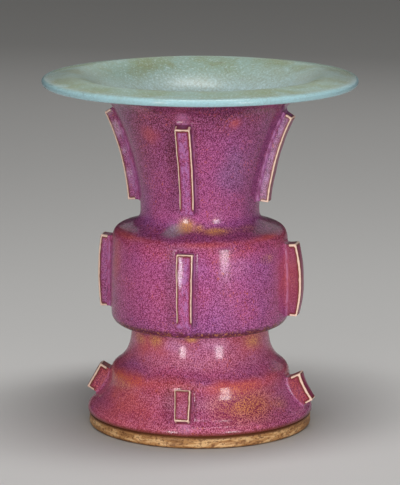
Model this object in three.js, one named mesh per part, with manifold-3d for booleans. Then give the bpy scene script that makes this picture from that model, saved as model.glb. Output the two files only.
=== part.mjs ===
// A flanged gu vase in glazed stoneware, in millimetres, +Z up, standing on z = 0 with its axis on Z.
// Three hollow sections stand on a plain ring, and twelve clay flanges in four columns are luted to them.
// Outlines are drawn in the half plane of radius and height, then turned round the axis.
import * as THREE from "three";
import { mergeVertices } from "three/addons/utils/BufferGeometryUtils.js";
import Module from "manifold-3d";

// Sections, from the floor up
const RING_HEIGHT = 10.7;
const FOOT_HEIGHT = 74.7;
const DRUM_HEIGHT = 89.1;
const NECK_HEIGHT = 119; // from the drum to the crest of the lip

// Foot ring and floor disc
const RING_WIDTH = 12.7;
const RING_EDGE = 2.3; // rounding under the outer edge
const RING_CHAMFER = 1; // under the inner edge
const RING_GROOVE = 0.9; // chamfer that leaves a dark groove under the glaze
const FLOOR_THICKNESS = 7;

// Foot
const FOOT_RADIUS = 92.7; // at its lower end, and of the ring under it
const ROLL_HEIGHT = 7.5; // of the rolled lower edge
const ROLL_INSET = 2.3; // from the foot's radius to where the roll passes into the flare
const RIDGE_RADIUS = 75.2;
const RIDGE_FOOT = 29.3; // where the flare meets the ridge, above the ring
const RIDGE_HEIGHT = 10.8;
const RIDGE_STEP = 4.6; // how far the ridge leans in
const FOOT_NECK_RADIUS = 57;

// Drum
const DRUM_RADIUS = 73.9; // just over the lower edge
const DRUM_EDGE = 8.8; // radius of the lower edge
const SHOULDER_DROP = 23.5; // from the top of the drum to where the wall begins to turn in
const SHOULDER_INSET = 0.5; // from the drum's radius to there
const ARRIS_DROP = 9.5; // from the top of the drum to the arris of its shoulder
const ARRIS_INSET = 4.6;

// Neck and lip
const WAIST_RADIUS = 49.4;
const WAIST_HEIGHT = 7; // above the drum
const SEAT_FLARE = 1.2; // how much wider the neck is where it meets the drum
const THROAT_RADIUS = 72; // outside, where the trumpet turns out into the lip
const THROAT_DROP = 27; // from the crest to there
const LIP_RADIUS = 130;
const LIP_NOSE = 3.1; // radius of the lip's rounded edge
const LIP_DROP = 6; // from the crest to the middle of that edge
const LIP_WIDTH = 25; // from the crest to the lip's edge

// Walls and joints
const WALL = 6;
const SPIGOT = 3; // thickness of the spigots
const REBATE_DEPTH = 3;
const SOCKET_LEDGE = 3; // of the drum, under the neck's spigot
const SLIP_GAP = 0.3; // room for slip between two pieces

// Flanges
const FLANGE_TAPER = 1.4; // how much narrower a flange is at its foot than at its head
const FLANGE_EDGE = 0.9; // rounding of the outer edges
const FLANGE_BITE = 8; // how far the uncut bar reaches into the wall
// Each flange begins a foot above the section's seat, and ends a head below the section's upper mark.
// Its width is that of its head. It stands proud of the wall, and its bow adds to that half way up.
const NECK_FLANGE = { foot: 14.5, head: 1.5, width: 12.6, proud: 9.2 };
const DRUM_FLANGE = { foot: 11.1, head: 18.5, width: 13.4, proud: 8.9, bow: 1.8 };
const FOOT_FLANGE = { foot: 9.3, head: 9.3, width: 13.2, proud: 9.4 };
// Where a flange was set by hand otherwise than its kind. A slip moves it round its column and a lean
// tips its head that way, both in degrees, and a rake makes its head more proud.
const NECK_FRONT = { foot: 11.5, head: 4.2, lean: -0.4, slip: -0.9 };
const DRUM_FRONT = { foot: 11.9, head: 17.9, slip: 0.9 };
const FOOT_FRONT = { foot: 8.5, lean: -3.5, slip: 0.4 };
const NECK_RIGHT = { foot: 16.1, proud: 10.4, rake: -1.2, lean: 3, slip: -1 };
const DRUM_RIGHT = { foot: 9.8, head: 19.7, proud: 9.9, bow: 3 };
const FOOT_RIGHT = { foot: 8.5, proud: 10.5, rake: 3, bow: -1.2 };
const NECK_LEFT = { foot: 13, proud: 10.4, rake: -1.2 };
const DRUM_LEFT = { proud: 9.6, bow: 1.4 };
const FOOT_LEFT = { foot: 10.3, proud: 10.3 };

// Degrees round from the front
const COLUMNS = [
  { name: "front", turn: 0, neck: NECK_FRONT, drum: DRUM_FRONT, low: FOOT_FRONT },
  { name: "right", turn: 85, neck: NECK_RIGHT, drum: DRUM_RIGHT, low: FOOT_RIGHT },
  { name: "back", turn: 180 },
  { name: "left", turn: 270, neck: NECK_LEFT, drum: DRUM_LEFT, low: FOOT_LEFT },
];

// Fineness
const SEGMENTS = 48; // round the axis
const EDGE_STEPS = 3; // in a rounded edge
const FLANGE_STEPS = 6; // along a flange

const PURPLE = { color: 0x9a4c6d, roughness: 0.22, metalness: 0 };
const ROSE = { color: 0xa4505a, roughness: 0.22, metalness: 0 };
const AQUA = { color: 0xa3bcb0, roughness: 0.25, metalness: 0 };
const BISCUIT = { color: 0x9a7048, roughness: 0.8, metalness: 0 };

const FLOOR_REBATE = FOOT_RADIUS - WALL; // radius of the foot's rebate for the floor disc
const FOOT_SEAT = RING_HEIGHT;
const DRUM_SEAT = FOOT_SEAT + FOOT_HEIGHT;
const NECK_SEAT = DRUM_SEAT + DRUM_HEIGHT;
const CREST = NECK_SEAT + NECK_HEIGHT;

const wasm = await Module();
wasm.setup();

const at = (radius, height) => new THREE.Vector2(radius, height);
const heading = (degrees) => at(1, 0).rotateAround(at(0, 0), THREE.MathUtils.degToRad(degrees));

// A stretch of outline that leaves one point at an angle and reaches the next at another.
// 90 is straight up and 0 straight out. The pulls say how long each end keeps its direction.
function stretch(from, leaving, to, reaching, steps, pulls = [0.33, 0.33]) {
  const length = from.distanceTo(to);
  const curve = new THREE.CubicBezierCurve(
    from,
    from.clone().addScaledVector(heading(leaving), length * pulls[0]),
    to.clone().addScaledVector(heading(reaching), -length * pulls[1]),
    to,
  );
  return curve.getPoints(steps);
}

// Points on a circle, between two directions from its centre.
function round(centre, radius, start, end, steps) {
  const points = [];
  for (let i = 0; i <= steps; i += 1) {
    points.push(centre.clone().addScaledVector(heading(start + ((end - start) * i) / steps), radius));
  }
  return points;
}

// The point that lies a distance inside an outline which runs up through a point at an angle.
const inside = (point, angle, distance) => point.clone().addScaledVector(heading(angle + 90), distance);

// An outline moved outwards along its own normals.
function grown(outline, distance) {
  return outline.map((point, i) => {
    const before = outline[Math.max(i - 1, 0)];
    const after = outline[Math.min(i + 1, outline.length - 1)];
    const along = after.clone().sub(before).normalize();
    return point.clone().add(at(along.y, -along.x).multiplyScalar(distance));
  });
}

// Leaves out points that repeat the one before, so that stretches can share their ends.
const joined = (...stretches) =>
  stretches.flat().filter((point, i, all) => i === 0 || point.distanceTo(all[i - 1]) > 1e-6);

// Turns a closed outline round the vase's axis. LatheGeometry turns it round Y, and its faces point
// out when the outline runs up the outer side and down the inner one.
function turned(outline) {
  const closed = outline[0].x === 0 ? outline : [...outline, outline[0]];
  return new THREE.LatheGeometry(closed, SEGMENTS).rotateX(Math.PI / 2);
}

function solidOf(geometry) {
  const bare = geometry.clone();
  bare.deleteAttribute("normal");
  bare.deleteAttribute("uv");
  const merged = mergeVertices(bare, 1e-4);
  return new wasm.Manifold(
    new wasm.Mesh({
      numProp: 3,
      vertProperties: merged.attributes.position.array,
      triVerts: new Uint32Array(merged.index.array),
    }),
  );
}

function geometryOf(solid) {
  const { vertProperties, triVerts } = solid.getMesh();
  const geometry = new THREE.BufferGeometry();
  geometry.setAttribute("position", new THREE.BufferAttribute(vertProperties, 3));
  geometry.setIndex(new THREE.BufferAttribute(triVerts, 1));
  return geometry;
}

function piece(name, geometry, finish) {
  const mesh = new THREE.Mesh(geometry, new THREE.MeshStandardMaterial(finish));
  mesh.name = name;
  return mesh;
}

// Outer sides, from the bottom up, which the walls and the flanges share

const ridgeFoot = at(RIDGE_RADIUS, FOOT_SEAT + RIDGE_FOOT);
const ridgeTop = at(RIDGE_RADIUS - RIDGE_STEP, FOOT_SEAT + RIDGE_FOOT + RIDGE_HEIGHT);
const rollTop = at(FOOT_RADIUS - ROLL_INSET, FOOT_SEAT + ROLL_HEIGHT);
const footTop = at(FOOT_NECK_RADIUS, DRUM_SEAT);
const ROLL_ANGLE = 16; // where the foot leaves the ring
const FLARE_ANGLE = 146;
const RIDGE_ANGLE = 97;
const HOLLOW_ANGLE = 144;

const footSide = joined(
  stretch(at(FOOT_RADIUS, FOOT_SEAT), ROLL_ANGLE, rollTop, FLARE_ANGLE, 4, [0.23, 0.64]),
  stretch(rollTop, FLARE_ANGLE, ridgeFoot, RIDGE_ANGLE, 5),
  stretch(ridgeFoot, RIDGE_ANGLE, ridgeTop, HOLLOW_ANGLE, 4, [0.39, 0.38]),
  stretch(ridgeTop, HOLLOW_ANGLE, footTop, 90, 6, [0.3, 0.55]),
);

const edgeCentre = at(DRUM_RADIUS - DRUM_EDGE, DRUM_SEAT + DRUM_EDGE);
const shoulder = at(DRUM_RADIUS - SHOULDER_INSET, NECK_SEAT - SHOULDER_DROP);
const arris = at(DRUM_RADIUS - ARRIS_INSET, NECK_SEAT - ARRIS_DROP);
const neckSeat = at(WAIST_RADIUS + SEAT_FLARE, NECK_SEAT);
const BELLY_ANGLE = 87.5; // just over the lower edge
const WALL_ANGLE = 94;
const ARRIS_ANGLE = 142;
const SEAT_ANGLE = 120;

const drumSide = joined(
  round(edgeCentre, DRUM_EDGE, -90, 0, EDGE_STEPS),
  stretch(edgeCentre.clone().add(at(DRUM_EDGE, 0)), BELLY_ANGLE, shoulder, WALL_ANGLE, 4),
  stretch(shoulder, WALL_ANGLE, arris, ARRIS_ANGLE, 4, [0.5, 0.27]),
  stretch(arris, ARRIS_ANGLE, neckSeat, SEAT_ANGLE, 4, [0.25, 0.33]),
);

const waist = at(WAIST_RADIUS, NECK_SEAT + WAIST_HEIGHT);
const throat = at(THROAT_RADIUS, CREST - THROAT_DROP);
const noseCentre = at(LIP_RADIUS - LIP_NOSE, CREST - LIP_DROP);
const crest = at(LIP_RADIUS - LIP_WIDTH, CREST);
const THROAT_ANGLE = 60;
const UNDERLIP_ANGLE = 1;
const OVERLIP_ANGLE = 177;
const NOSE_START = -95;
const NOSE_END = 82;
const [noseStart, noseEnd] = round(noseCentre, LIP_NOSE, NOSE_START, NOSE_END, 1);

const trumpetSide = joined(
  stretch(neckSeat, SEAT_ANGLE, waist, 90, 2),
  stretch(waist, 90, throat, THROAT_ANGLE, 7, [0.25, 0.3]),
);
const lipSide = joined(
  stretch(throat, THROAT_ANGLE, noseStart, UNDERLIP_ANGLE, 6, [0.32, 0.23]),
  round(noseCentre, LIP_NOSE, NOSE_START, 0, 2),
  round(noseCentre, LIP_NOSE, 0, NOSE_END, 2),
  stretch(noseEnd, OVERLIP_ANGLE, crest, 180, 3, [0.45, 0.31]),
);

// Sections

function footRing() {
  const inner = FOOT_RADIUS - RING_WIDTH;
  const outline = [
    at(inner, RING_CHAMFER),
    at(inner + RING_CHAMFER, 0),
    ...round(at(FOOT_RADIUS - RING_EDGE, RING_EDGE), RING_EDGE, -90, 0, EDGE_STEPS),
    at(FOOT_RADIUS, RING_HEIGHT - RING_GROOVE),
    at(FOOT_RADIUS - RING_GROOVE, RING_HEIGHT),
    at(inner, RING_HEIGHT),
  ];
  return piece("foot_ring", turned(outline), BISCUIT);
}

function floorDisc() {
  const radius = FLOOR_REBATE - SLIP_GAP;
  const top = FOOT_SEAT + FLOOR_THICKNESS;
  const outline = [at(0, FOOT_SEAT), at(radius, FOOT_SEAT), at(radius, top), at(0, top)];
  return piece("floor_disc", turned(outline), AQUA);
}

// The foot's spigot stands up into the drum, and its lower end has a rebate for the floor disc.
function foot() {
  const bore = FOOT_NECK_RADIUS - WALL;
  const spigot = bore + SPIGOT;
  const ledge = FOOT_SEAT + FLOOR_THICKNESS + SLIP_GAP;
  const innerRidgeFoot = inside(ridgeFoot, RIDGE_ANGLE, WALL);
  const innerRidgeTop = inside(ridgeTop, HOLLOW_ANGLE, WALL);
  const lip = at(FLOOR_REBATE - WALL, ledge);
  const outline = joined(
    footSide,
    [at(spigot, DRUM_SEAT), at(spigot, DRUM_SEAT + REBATE_DEPTH), at(bore, DRUM_SEAT + REBATE_DEPTH)],
    stretch(at(bore, DRUM_SEAT), -90, innerRidgeTop, HOLLOW_ANGLE - 180, 4, [0.55, 0.3]),
    stretch(innerRidgeTop, HOLLOW_ANGLE - 180, innerRidgeFoot, RIDGE_ANGLE - 180, 2),
    stretch(innerRidgeFoot, RIDGE_ANGLE - 180, lip, FLARE_ANGLE - 180, 3),
    [at(FLOOR_REBATE, ledge), at(FLOOR_REBATE, FOOT_SEAT)],
  );
  return piece("foot", turned(outline), ROSE);
}

// The drum has a socket in its floor for the foot's spigot and one in its top for the neck's.
function drum() {
  const lowerBore = FOOT_NECK_RADIUS - WALL;
  const lowerSocket = lowerBore + SPIGOT + SLIP_GAP;
  const upperBore = neckSeat.x - WALL;
  const upperSocket = upperBore + SPIGOT + SLIP_GAP;
  const floor = DRUM_SEAT + WALL;
  const socketRoof = DRUM_SEAT + REBATE_DEPTH + SLIP_GAP;
  const socketFloor = NECK_SEAT - REBATE_DEPTH - SLIP_GAP;
  const innerArris = inside(arris, ARRIS_ANGLE, WALL);
  const innerWallTop = inside(shoulder, WALL_ANGLE, WALL);
  const innerEdge = DRUM_EDGE / 4;
  const innerCorner = at(DRUM_RADIUS - WALL, floor + innerEdge);
  const outline = joined(
    [at(lowerSocket, DRUM_SEAT)],
    drumSide,
    [at(upperSocket, NECK_SEAT), at(upperSocket, socketFloor), at(upperBore, socketFloor)],
    stretch(at(upperBore, socketFloor - SOCKET_LEDGE), -90, innerArris, ARRIS_ANGLE - 180, 3),
    stretch(innerArris, ARRIS_ANGLE - 180, innerWallTop, -90, 2),
    stretch(innerWallTop, -90, innerCorner, -90, 2),
    round(innerCorner.clone().sub(at(innerEdge, 0)), innerEdge, 0, -90, 2),
    [at(lowerBore, floor), at(lowerBore, socketRoof), at(lowerSocket, socketRoof)],
  );
  return piece("drum", turned(outline), PURPLE);
}

// The neck's spigot hangs down into the drum, and its trumpet turns out into the lip.
function mouthAndNeck() {
  const bore = neckSeat.x - WALL;
  const spigot = bore + SPIGOT;
  const innerThroat = inside(throat, THROAT_ANGLE, WALL);
  const innerWaist = inside(waist, 90, WALL);
  const outline = joined(
    [at(spigot, NECK_SEAT - REBATE_DEPTH), at(spigot, NECK_SEAT)],
    trumpetSide,
    lipSide,
    stretch(crest, 180, innerThroat, THROAT_ANGLE - 180, 6, [0.22, 0.26]),
    stretch(innerThroat, THROAT_ANGLE - 180, innerWaist, -90, 5, [0.3, 0.25]),
    stretch(innerWaist, -90, at(bore, NECK_SEAT - REBATE_DEPTH), -90, 2),
  );
  return piece("mouth_and_neck", turned(outline), PURPLE);
}

// Flanges

// A wall's point at a height.
function pointAt(side, height) {
  const above = side.findIndex((point) => point.y >= height);
  const [a, b] = [side[above - 1], side[above]];
  return at(THREE.MathUtils.mapLinear(height, a.y, b.y, a.x, b.x), height);
}

// The straight line between two heights of a wall. Along gives the wall's own line between them.
function chord(side, low, high) {
  const [foot, head] = [pointAt(side, low), pointAt(side, high)];
  const points = [];
  for (let i = 0; i <= FLANGE_STEPS; i += 1) {
    points.push(foot.clone().lerp(head, i / FLANGE_STEPS));
  }
  return points;
}
const along = (side, low, high) => chord(side, low, high).map(({ y }) => pointAt(side, y));

// A bar square at both ends, with its back cut to the wall's own curve. The root is the line on the
// wall that it stands on, from the foot to the head.
function flange(name, side, root, hand, turn, finish) {
  const { width, proud, bow = 0, rake = 0, lean = 0, slip = 0 } = hand;
  const [foot, head] = [root[0], root[root.length - 1]];
  const back = grown(root, -FLANGE_BITE);
  const face = grown(root, proud).map((point, i) => {
    const share = i / FLANGE_STEPS;
    return point.add(at(rake * share + 4 * bow * share * (1 - share), 0));
  });
  const shape = new THREE.Shape([...face, ...back.reverse()]);
  const bar = new THREE.ExtrudeGeometry(shape, {
    depth: width - 2 * FLANGE_EDGE,
    bevelThickness: FLANGE_EDGE,
    bevelSize: FLANGE_EDGE,
    bevelOffset: -FLANGE_EDGE,
    bevelSegments: 2,
    curveSegments: 1,
  });
  // The shape lies in X and Y: stand it up, centre its width, taper and tip it, and turn it round.
  bar.translate(0, 0, FLANGE_EDGE - width / 2).rotateX(Math.PI / 2);
  const tip = Math.tan(THREE.MathUtils.degToRad(lean));
  const corners = bar.attributes.position;
  for (let i = 0; i < corners.count; i += 1) {
    const share = THREE.MathUtils.inverseLerp(foot.y, head.y, corners.getZ(i));
    const narrow = 1 - (FLANGE_TAPER / width) * (1 - share);
    corners.setY(i, corners.getY(i) * narrow + tip * (share - 0.5) * (head.y - foot.y));
  }
  bar.rotateZ(THREE.MathUtils.degToRad(turn + slip - 90));
  const wall = grown(side, SLIP_GAP);
  const lowest = wall[0].y - WALL;
  const highest = wall[wall.length - 1].y + WALL;
  const ends = [at(wall[wall.length - 1].x, highest), at(0, highest)];
  const core = turned([at(0, lowest), at(wall[0].x, lowest), ...wall, ...ends]);
  return piece(name, geometryOf(solidOf(bar).subtract(solidOf(core))), finish);
}

const vase = new THREE.Group();
vase.add(footRing(), floorDisc(), foot(), drum(), mouthAndNeck());
for (const { name, turn, neck, drum, low } of COLUMNS) {
  const upper = { ...NECK_FLANGE, ...neck };
  const middle = { ...DRUM_FLANGE, ...drum };
  const lower = { ...FOOT_FLANGE, ...low };
  const upperRoot = along(trumpetSide, NECK_SEAT + upper.foot, throat.y - upper.head);
  const middleRoot = along(drumSide, DRUM_SEAT + middle.foot, NECK_SEAT - middle.head);
  const lowerRoot = chord(footSide, FOOT_SEAT + lower.foot, ridgeTop.y - lower.head);
  vase.add(
    flange(`neck_flange_${name}`, trumpetSide, upperRoot, upper, turn, PURPLE),
    flange(`drum_flange_${name}`, drumSide, middleRoot, middle, turn, PURPLE),
    flange(`foot_flange_${name}`, footSide, lowerRoot, lower, turn, ROSE),
  );
}

export default vase;
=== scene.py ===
import math

import bmesh
import bpy
from bpy.props import FloatProperty, FloatVectorProperty, IntProperty, PointerProperty
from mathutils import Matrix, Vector, noise
from mathutils.geometry import interpolate_bezier, intersect_line_line_2d


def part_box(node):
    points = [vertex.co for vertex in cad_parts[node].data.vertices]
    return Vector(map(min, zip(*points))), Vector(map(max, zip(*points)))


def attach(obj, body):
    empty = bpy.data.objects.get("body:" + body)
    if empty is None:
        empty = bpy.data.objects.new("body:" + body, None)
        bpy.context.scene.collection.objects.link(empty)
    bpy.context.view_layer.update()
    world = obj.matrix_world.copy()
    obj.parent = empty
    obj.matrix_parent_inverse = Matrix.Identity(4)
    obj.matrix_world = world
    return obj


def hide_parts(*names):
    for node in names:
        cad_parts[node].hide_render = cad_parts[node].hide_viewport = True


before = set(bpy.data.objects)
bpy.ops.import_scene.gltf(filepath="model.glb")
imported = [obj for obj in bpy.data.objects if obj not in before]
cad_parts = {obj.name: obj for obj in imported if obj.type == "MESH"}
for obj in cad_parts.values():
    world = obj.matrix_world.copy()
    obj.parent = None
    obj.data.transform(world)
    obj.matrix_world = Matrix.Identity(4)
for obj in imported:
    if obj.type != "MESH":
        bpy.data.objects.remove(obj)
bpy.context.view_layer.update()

bl_info = {
    "name": "Flanged gu vase",
    "version": (1, 0, 0),
    "blender": (4, 5, 0),
    "location": "View3D > Sidebar > Vase",
    "description": "A glazed stoneware vase with a wide lip and flanges in four columns",
    "category": "Add Mesh",
}

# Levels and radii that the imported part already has, in metres
FOOT_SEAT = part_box("foot")[0].z
DRUM_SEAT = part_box("drum")[0].z
NECK_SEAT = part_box("drum")[1].z
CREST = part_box("mouth_and_neck")[1].z
LIP_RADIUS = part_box("mouth_and_neck")[1].x
RING_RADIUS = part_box("foot_ring")[1].x
FLOOR_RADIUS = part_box("floor_disc")[1].x
FLOOR_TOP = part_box("floor_disc")[1].z

# What is set for each kind of flange, in metres
FLANGE_MEANINGS = {
    "width": "Across the flange's head",
    "foot": "From the seat under the flange up to it",
    "head": "From the mark over the flange down to it",
    "proud": "How far the flange stands off the wall",
    "bow": "How much further it stands off at its middle",
}
FLANGE_KINDS = {
    "neck": (0.0126, 0.0145, 0.0015, 0.0092, 0.0),
    "drum": (0.0134, 0.0111, 0.0185, 0.0089, 0.0018),
    "foot": (0.0132, 0.0093, 0.0093, 0.0094, 0.0),
}

# How many degrees round from the front each column of flanges stands, and where a flange was set by
# hand otherwise than its kind: a slip moves it round, a lean tips its head round, a rake makes its
# head stand further out
COLUMNS = {"front": 0, "right": 85, "back": 180, "left": 270}
BY_HAND = {
    "neck_flange_front": {"foot": 0.0115, "head": 0.0042, "lean": -0.4, "slip": -0.9},
    "neck_flange_right": {"foot": 0.0161, "proud": 0.0104, "rake": -0.0012, "lean": 3, "slip": -1},
    "neck_flange_left": {"foot": 0.013, "proud": 0.0104, "rake": -0.0012},
    "drum_flange_front": {"foot": 0.0119, "head": 0.0179, "slip": 0.9},
    "drum_flange_right": {"foot": 0.0098, "head": 0.0197, "proud": 0.0099, "bow": 0.003},
    "drum_flange_left": {"proud": 0.0096, "bow": 0.0014},
    "foot_flange_front": {"foot": 0.0085, "lean": -3.5, "slip": 0.4},
    "foot_flange_right": {"foot": 0.0085, "proud": 0.0105, "rake": 0.003, "bow": -0.0012},
    "foot_flange_left": {"foot": 0.0103, "proud": 0.0103},
}

# Ways that the walls run at their corners, in degrees: 0 is straight out and 90 straight up
UP, DOWN, INWARDS = 90, -90, 180
FOOT_WAY = 16
ROLL_WAY = 146
RIDGE_FOOT_WAY = 97
RIDGE_TOP_WAY = 144
DRUM_WAY = 87.5
SHOULDER_WAY = 94
ARRIS_WAY = 142
SEAT_WAY = 120
THROAT_WAY = 60
LIP_UNDER_WAY = 1
LIP_TOP_WAY = 177
NOSE_START, NOSE_END = -95, 82  # of the lip's rounded edge, round its own centre

NEAR_RIM = 0.004  # how far from a flange's edge the glaze is told apart by its distance
BURIED = 0.0012  # how deep a flange's hidden back lies in the wall
FILLET_SUNK = 0.00005  # how deep the thin edge of its fillet lies there
CORNER = 0.0009  # rounding of a flange's corners, seen from in front
LEAST_CORNER = 0.00004
CORNER_TURNS = 5  # edges round such a corner
FILLET_LOOPS, SIDE_LOOPS, EDGE_LOOPS = 7, 5, 4  # of a flange's mesh, up its fillet, side and edge

RING_CHAMFER = 0.001
RING_GROOVE = 0.0009  # between the ring and the foot
FURROW = 0.00016  # depth of the furrows that the potter's tool left in the ring
FURROW_WAVES = (2900, 1270)  # two rhythms of them up the ring, in radians per metre

AQUA_UNDER_LIP = (0.024, 0.005)  # how far in from the lip's edge the aqua glaze fades in and is full
SHARP_ANGLE = 42  # degrees over which an edge is drawn sharp
GROUND_TOP = 0.3  # height at which the copper glaze's ramp of tones ends
COAT_IOR = 1.45
GLAZE_SPECULAR = 0.16  # of the glaze under its clear coat
BLACK, WHITE = (0, 0, 0), (1, 1, 1)
FLOOR_REACH = 14
FRAME_HEIGHT = 36  # of the camera's sensor, in millimetres

# Each lamp stands some degrees round from the camera, a way off along the floor and at a height. Its
# face has a width and a height, and looks at a level on the vase's axis.
LAMPS = {
    "key": (31, 1.2, 0.22, (0.24, 0.42), 0.22),
    "fill": (-27, 1.25, 0.22, (0.18, 0.42), 0.22),
    "top": (20, 0.2, 1.75, (0.9, 0.4), 0.16),
    "front": (-12, 1.7, 1.35, (2.4, 1.1), 0.16),
    "back": (165, 1.9, 0.95, (2.2, 0.8), 0.16),
}
STRIPS = ("key", "fill")


def size(label, default, description):
    return FloatProperty(
        name=label, description=description, default=default, unit="LENGTH", precision=4
    )


def tone(label, shown, description):
    """A colour property, given as it looks on a screen."""
    linear = [((c / 255 + 0.055) / 1.055) ** 2.4 if c > 10 else c / 255 / 12.92 for c in shown]
    return FloatVectorProperty(
        name=label, description=description, default=linear, subtype="COLOR", size=3, min=0, max=1
    )


def rows(kind, **given):
    """Properties of one kind, labelled after their names."""
    return {key: kind(key.replace("_", " ").capitalize(), *values) for key, values in given.items()}


class WallSizes(bpy.types.PropertyGroup):
    """Sizes of the turned walls."""

    __annotations__ = rows(
        size,
        lip_radius=(LIP_RADIUS, "From the axis to the lip's edge"),
        lip_width=(0.025, "From the crest of the lip to its edge"),
        lip_nose=(0.0031, "Radius of the lip's rounded edge"),
        lip_drop=(0.006, "From the crest down to the middle of that edge"),
        throat_radius=(0.072, "Where the trumpet turns out into the lip"),
        throat_drop=(0.027, "From the crest down to the throat"),
        waist_radius=(0.0494, "The neck at its narrowest"),
        waist_height=(0.007, "From the drum up to the waist"),
        seat_flare=(0.0012, "How much wider the neck is on the drum"),
        drum_radius=(0.0739, "The drum just over its lower edge"),
        drum_edge=(0.0088, "Radius of the drum's lower edge"),
        shoulder_drop=(0.0235, "From the drum's top to where the wall turns in"),
        shoulder_inset=(0.0005, "From the drum's radius to there"),
        arris_drop=(0.0095, "From the drum's top to its arris"),
        arris_inset=(0.0046, "From the drum's radius to its arris"),
        foot_neck_radius=(0.057, "The foot under the drum"),
        ridge_radius=(0.0752, "Where the flare meets the ridge"),
        ridge_foot=(0.0293, "Height of that place over the ring"),
        ridge_height=(0.0108, "Height of the ridge"),
        ridge_step=(0.0046, "How far the ridge leans in"),
        roll_height=(0.0075, "Height of the foot's rolled lower edge"),
        roll_inset=(0.0023, "From the ring's radius to the top of the roll"),
        ring_width=(0.0127, "Width of the foot ring"),
        ring_edge=(0.0023, "Rounding under the ring's outer edge"),
        wall=(0.006, "Thickness of the walls"),
        spigot=(0.003, "Thickness and height of the hidden spigots"),
        slip=(0.0003, "Room for slip between two pieces"),
        unevenness=(0.0005, "How far the hand-made walls stray"),
        outside_step=(0.001, "Spacing of the rings of a wall's outside"),
        inside_step=(0.0026, "Spacing of the rings of a wall's inside"),
    )
    segments: IntProperty(name="Segments", description="Faces round the axis", default=320, min=24)


class FlangeSizes(bpy.types.PropertyGroup):
    """Sizes of the flanges."""

    __annotations__ = rows(
        size,
        taper=(0.0014, "How much narrower a flange is at its foot than at its head"),
        edge=(0.0007, "Rounding of the outer edges"),
        crown=(0.0006, "How much thicker the glaze is along the middle of a face"),
        fillet=(0.0032, "Radius of the glaze that fills the corner with the wall"),
        waver=(0.0004, "How far the hand-cut edges stray"),
        step=(0.0012, "Spacing of the points along a flange"),
        **{
            f"{kind}_{key}": (length, FLANGE_MEANINGS[key])
            for kind, lengths in FLANGE_KINDS.items() for key, length in zip(FLANGE_MEANINGS, lengths)
        },
    )


class GlazeColours(bpy.types.PropertyGroup):
    """Colours of the glazes and the clay."""

    __annotations__ = rows(
        tone,
        purple=((176, 74, 134), "The copper glaze on neck and drum"),
        plum=((122, 48, 96), "The same glaze where it is thick and dark"),
        maroon=((122, 30, 60), "Shades in it"),
        lilac=((206, 142, 190), "Pale specks in it"),
        violet=((128, 84, 158), "Where it turns blue"),
        rose=((186, 72, 96), "The same glaze on the foot"),
        orange=((208, 98, 58), "Where it runs thin over a ridge"),
        ochre=((212, 150, 86), "Where it breaks over the joints"),
        smoke=((138, 134, 148), "The grey-blue spot at the neck's foot"),
        cream=((236, 202, 182), "The clay that shows through at sharp edges"),
        rust=((112, 48, 28), "The line between cream and glaze"),
        aqua=((134, 152, 126), "The opaque glaze of the mouth"),
        sky=((151, 187, 194), "The same glaze where it is thick"),
        olive=((132, 130, 94), "The same glaze where it is thin"),
        clay=((176, 128, 80), "The bare foot ring"),
        dark_clay=((92, 50, 26), "The scorched line under the glaze"),
        pale_clay=((214, 172, 122), "Worn streaks on the ring"),
    )


class StudioSettings(bpy.types.PropertyGroup):
    """The camera, the floor and the lamps."""

    turn: FloatProperty(
        name="Camera turn", description="How far round to the vase's right the camera stands",
        default=math.radians(9.8), subtype="ANGLE",
    )
    distance: size("Camera distance", 2.28, "From the vase's axis, measured along the floor")
    height: size("Camera height", 0.6109, "Over the floor")
    pitch: FloatProperty(
        name="Camera pitch", description="How far the camera looks down", default=math.radians(11.39),
        subtype="ANGLE",
    )
    lens: FloatProperty(
        name="Lens", description="Focal length in millimetres", default=208.43, unit="CAMERA"
    )
    floor: tone("Floor", (206, 205, 203), "The plain floor")
    sky_light: FloatProperty(name="Sky light", description="Strength of the even light", default=0.26)
    mirrored: FloatProperty(
        name="Mirrored sky", description="Share of the even light that shows in the gloss", default=0.05
    )
    key: FloatProperty(name="Key", description="Watts of the low strip on the right", default=5.9)
    fill: FloatProperty(name="Fill", description="Watts of the low strip on the left", default=5.6)
    top: FloatProperty(name="Top", description="Watts of the lamp over the vase", default=18)
    front: FloatProperty(name="Front", description="Watts of the wide lamp high in front", default=7)
    back: FloatProperty(name="Back", description="Watts of the wide lamp behind", default=2.5)


# Outlines, as points of radius and height


def at(radius, height):
    return Vector((radius, height))


def heading(degrees):
    """90 is straight up and 0 straight out."""
    return Vector((math.cos(math.radians(degrees)), math.sin(math.radians(degrees))))


def back(degrees):
    """The same way run from its other end, as the inside of a wall runs down."""
    return degrees - 180


def inside(point, degrees, distance):
    """The point inside an outline that runs up through a point at an angle."""
    return point + heading(degrees + 90) * distance


def stretch(start, leaving, end, reaching, step, pulls=(0.33, 0.33)):
    """An outline that leaves one point at an angle and reaches the next at another."""
    length = (end - start).length
    handle = start + heading(leaving) * length * pulls[0]
    other = end - heading(reaching) * length * pulls[1]
    return interpolate_bezier(start, handle, other, end, max(3, math.ceil(length / step) + 1))


def arc(centre, radius, start, end, step):
    count = max(3, math.ceil(radius * abs(math.radians(end - start)) / step))
    return [centre + heading(start + (end - start) * i / count) * radius for i in range(count + 1)]


def straight(start, end, step):
    count = max(1, math.ceil((end - start).length / step))
    return [start.lerp(end, i / count) for i in range(count + 1)]


def joined(*stretches):
    """One outline, without the points that two stretches share."""
    points = []
    for point in (p.to_2d() for s in stretches for p in s):
        if not points or (point - points[-1]).length > 1e-6:
            points.append(point)
    return points


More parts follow.
